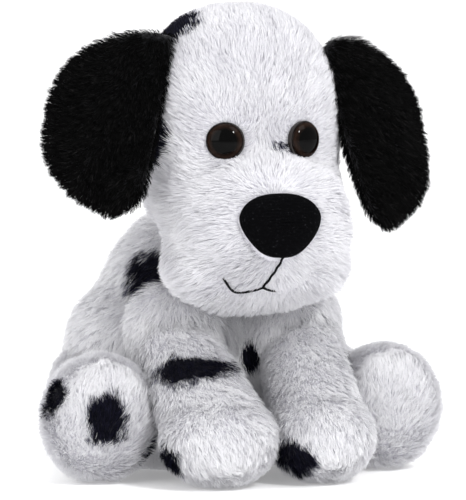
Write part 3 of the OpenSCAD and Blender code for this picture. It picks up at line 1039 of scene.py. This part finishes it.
def ear_comb(side):
    axes = ear_frame(side)
    foot = EAR_FOOT * np.array([side, 1, 1])

    def comb(p, n):
        # down the ear's middle, and outward near its rim
        out = smooth(0.45, 1.0, (p - foot) @ axes[0] / EAR_W)[:, None]
        rise = ((p - foot) @ axes[2] / EAR_L)[:, None]
        return axes[0] * (0.35 + 0.8 * out) + axes[2] * (1 - out) * -0.9 + axes[2] * out * rise * 1.2
    return comb


def clear_of_floor(p, n):
    return np.where((p[:, 2] < 3) & (n[:, 2] < -0.75), 0.0, 1.0)


def torso_keep(p, n):
    """No pile under the seat, and thinner pile deep under the head."""
    d = np.linalg.norm((p - SKULL_C) / (SKULL_R + 5), axis=1)
    return clear_of_floor(p, n) * np.where(d < 1.05, 0.35, 1.0)


# --- Assembly --------------------------------------------------------------------------------------------------------
def build_head():
    skin = tagged(head_skin(), "head", WHITE_BACKING)
    outward(skin)
    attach(skin, "head")
    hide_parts("head_stuffing", "crown_panel", "face_panel_left", "face_panel_right", "muzzle_panel", "chin_panel")
    # painted shade: the head's white pile takes a darker base tone to offset the stronger light on top
    pile("head_pile", skin, "head", 4.6 * DENSITY, head_length, head_comb, lift=0.34, width=0.24, gather=0.32, shade=white_shade("head", 1, 0.80),
         keep=head_keep, seed=1)
    eye(1)
    eye(-1)
    nose()
    tree = BVHTree.FromObject(skin, bpy.context.evaluated_depsgraph_get())
    smile, drop = mouth_line()
    for i, line in enumerate((smile, drop)):
        # the smile's left end sinks into the pile, and the drop dips in and out of it
        dip = [4.5 * float(smooth(0, 9, x)) if i == 0 else 0.4 - 0.4 * math.cos(1.7 * z) for x, z in line]
        path = [on_muzzle(tree, x, z) - np.array([0, 2.4 - d, 0]) for (x, z), d in zip(line, dip)]
        obj = tube(("mouth_smile", "mouth_drop")[i], path, 0.5)
        obj.data.materials.append(BLACK_THREAD)
        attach(obj, "head")
        if i == 0:
            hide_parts("mouth_thread")


def build_torso():
    skin = tagged(torso_skin(), "torso", WHITE_BACKING)
    outward(skin)
    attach(skin, "torso")
    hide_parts("torso_stuffing", "back_panel_left", "back_panel_right", "chest_panel", "seat_panel", "bean_pouch", "bean_fill")
    pile("torso_pile", skin, "torso", 4.2 * DENSITY, even_length(5.8), body_comb, lift=0.7, width=0.23, tuft=30, gather=0.22, curl=0.3, shade=white_shade("torso", 2),
         keep=torso_keep, seed=2)


def build_legs():
    for kind, maker, comb in (("foreleg", foreleg_skin, foreleg_comb), ("hindleg", hindleg_skin, hindleg_comb)):
        left = maker()
        outward(left)
        pair = {"left": left, "right": mirrored(left, f"{kind}_skin_right")}
        for i, (which, skin) in enumerate(pair.items()):
            body = f"{kind}_{which}"
            if body == "foreleg_right":
                p = points_of(skin)
                full = smooth(-28, -52, p[:, 1])
                p[:, 0] += full * (0.10 * (p[:, 0] + PAW_C[0]) + 1.0)
                set_points(skin, p)
            tagged(skin, body, WHITE_BACKING)
            outward(skin)
            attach(skin, body)
            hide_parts(f"{kind}_stuffing_{which}", f"{kind}_outer_{which}", f"{kind}_inner_{which}")
            side = 1 if which == "left" else -1
            pile(f"{kind}_pile_{which}", skin, body, 5.2 * DENSITY, even_length(5.4), comb(side), lift=0.62, width=0.23, tuft=30, gather=0.2, curl=0.3,
                 shade=white_shade(body, 10 + i), keep=clear_of_floor if kind == "hindleg" else None,
                 seed=20 + i + (4 if kind == "hindleg" else 0))


def build_ears():
    for side, which in ((1, "left"), (-1, "right")):
        skin = tagged(ear_skin(side), "ear", BLACK_BACKING)
        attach(skin, f"ear_{which}")
        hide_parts(f"ear_front_{which}", f"ear_back_{which}")
        pile(f"ear_pile_{which}", skin, f"ear_{which}", 7.0 * DENSITY, even_length(5.0), ear_comb(side), lift=0.7, width=0.22, gather=0.45, curl=0.3,
             tuft=16, shade=black_shade(30 + side), seed=30 + side, cloth=BLACK_PILE)


def build_tail():
    skin = tagged(tail_skin(), "tail", WHITE_BACKING)
    outward(skin)
    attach(skin, "tail")
    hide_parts("tail_cover", "tail_stuffing")
    pile("tail_pile", skin, "tail", 2.0 * DENSITY, even_length(8), tail_comb, lift=0.4, shade=white_shade("tail", 40), seed=40)


def build_neck():
    skin = blob("neck_skin", [ball(np.array([0, -8, 76]) + SHIFT, [12.5, 12.5, 11])], 2.2, 4)
    tagged(skin, "", WHITE_BACKING)
    outward(skin)
    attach(skin, "neck")
    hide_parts("neck_sleeve", "neck_stuffing")


def dress_hard_parts():
    for which in ("left", "right"):
        for node, mat in ((f"eye_base_{which}", EYE_PLASTIC), (f"eye_washer_{which}", WASHER_PLASTIC)):
            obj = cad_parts[node]
            obj.data.materials.clear()
            obj.data.materials.append(mat)


def closing_stitches():
    paths = []
    for i in range(7):
        z = 48 + 5 * i
        y = CHEST_C[1] + CHEST_R[1] * math.sqrt(1 - ((z - CHEST_C[2]) / CHEST_R[2]) ** 2)
        paths.append([[x, y - 0.4 + 0.05 * x * x * -0.3, z + 0.25 * x] for x in np.linspace(-2.6, 2.6, 14)])
    objs = [tube("stitch", path, 0.5) for path in paths]
    points, faces, base = [], [], 0
    for o in objs:
        p = points_of(o)
        points.append(p)
        faces += [[v + base for v in f.vertices] for f in o.data.polygons]
        base += len(p)
        bpy.data.objects.remove(o)
    obj = new_mesh("closing_stitch_row", np.vstack(points), faces)
    obj.data.materials.append(WHITE_THREAD)
    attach(obj, "torso")
    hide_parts("closing_stitches")


DENSITY = 1.0

build_head()
build_neck()
build_torso()
build_legs()
build_ears()
build_tail()
dress_hard_parts()
closing_stitches()


# --- Studio ----------------------------------------------------------------------------------------------------------
def floor():
    """A pale sheet that sweeps up behind the toy."""
    points, faces = [], []
    rows = [(-3.0, 0.0), (1.2, 0.0), (1.5, 0.03), (1.75, 0.12), (1.95, 0.3), (2.05, 0.6), (2.05, 3.0)]
    for y, z in rows:
        for x in (-4.0, 4.0):
            points.append([x / MM, y / MM, z / MM])
    for i in range(len(rows) - 1):
        faces.append([2 * i, 2 * i + 1, 2 * i + 3, 2 * i + 2])
    obj = new_mesh("studio_floor", points, faces)
    mat, tree, shader = material("pale_paper")
    place = tree.nodes.new("ShaderNodeTexCoord")
    grain = tree.nodes.new("ShaderNodeTexNoise")
    grain.inputs["Scale"].default_value = 3
    tree.links.new(place.outputs["Object"], grain.inputs["Vector"])
    tree.links.new(ramp(tree, grain.outputs["Fac"], [(0.3, (0.93, 0.93, 0.935)), (0.7, (0.95, 0.95, 0.955))]), shader.inputs["Base Color"])
    shader.inputs["Roughness"].default_value = 0.8
    shader.inputs["Emission Color"].default_value = (1, 1, 1, 1)
    shader.inputs["Emission Strength"].default_value = 0.20
    obj.data.materials.append(mat)


def lamp(name, place, aim, size, watts, colour=(1, 1, 1)):
    data = bpy.data.lights.new(name, "AREA")
    data.shape = "SQUARE"
    data.size = size
    data.energy = watts
    data.color = colour
    obj = bpy.data.objects.new(name, data)
    bpy.context.scene.collection.objects.link(obj)
    obj.location = place
    obj.rotation_euler = (Vector(aim) - Vector(place)).to_track_quat("-Z", "Y").to_euler()


def studio():
    floor()
    lamp("key", (0.7, -1.1, 1.5), (0, 0, 0.08), 0.9, 7)
    lamp("fill", (-1.4, -0.9, 0.7), (0, 0, 0.05), 1.2, 10)
    lamp("top", (0.0, 0.3, 1.8), (0, 0, 0), 1.4, 9)
    lamp("catchlight", (0.26, -1.0, 0.73), (0, 0, 0.13), 0.12, 6.5)
    world = bpy.data.worlds.new("studio")
    world.use_nodes = True
    world.node_tree.nodes["Background"].inputs["Color"].default_value = (1, 1, 1, 1)
    world.node_tree.nodes["Background"].inputs["Strength"].default_value = 0.71
    bpy.context.scene.world = world
    bpy.context.scene.view_settings.view_transform = "Standard"


AZIMUTH, ELEVATION, DISTANCE = -20, 4.6, 1.8
VIEW_HEIGHT = 0.2118


def camera():
    a, e = math.radians(AZIMUTH), math.radians(ELEVATION)
    back = Vector((math.sin(a) * math.cos(e), -math.cos(a) * math.cos(e), math.sin(e)))
    right = Vector((math.cos(a), math.sin(a), 0))
    aim = right * 0.0072 + Vector((0, 0, 0.0920))
    data = bpy.data.cameras.new("camera")
    obj = bpy.data.objects.new("camera", data)
    bpy.context.scene.collection.objects.link(obj)
    obj.location = aim + back * DISTANCE
    obj.rotation_euler = (-back).to_track_quat("-Z", "Y").to_euler()
    data.sensor_width = 36
    data.lens = 36 * DISTANCE / VIEW_HEIGHT
    data.clip_start, data.clip_end = 0.05, 20
    bpy.context.scene.camera = obj


studio()
camera()
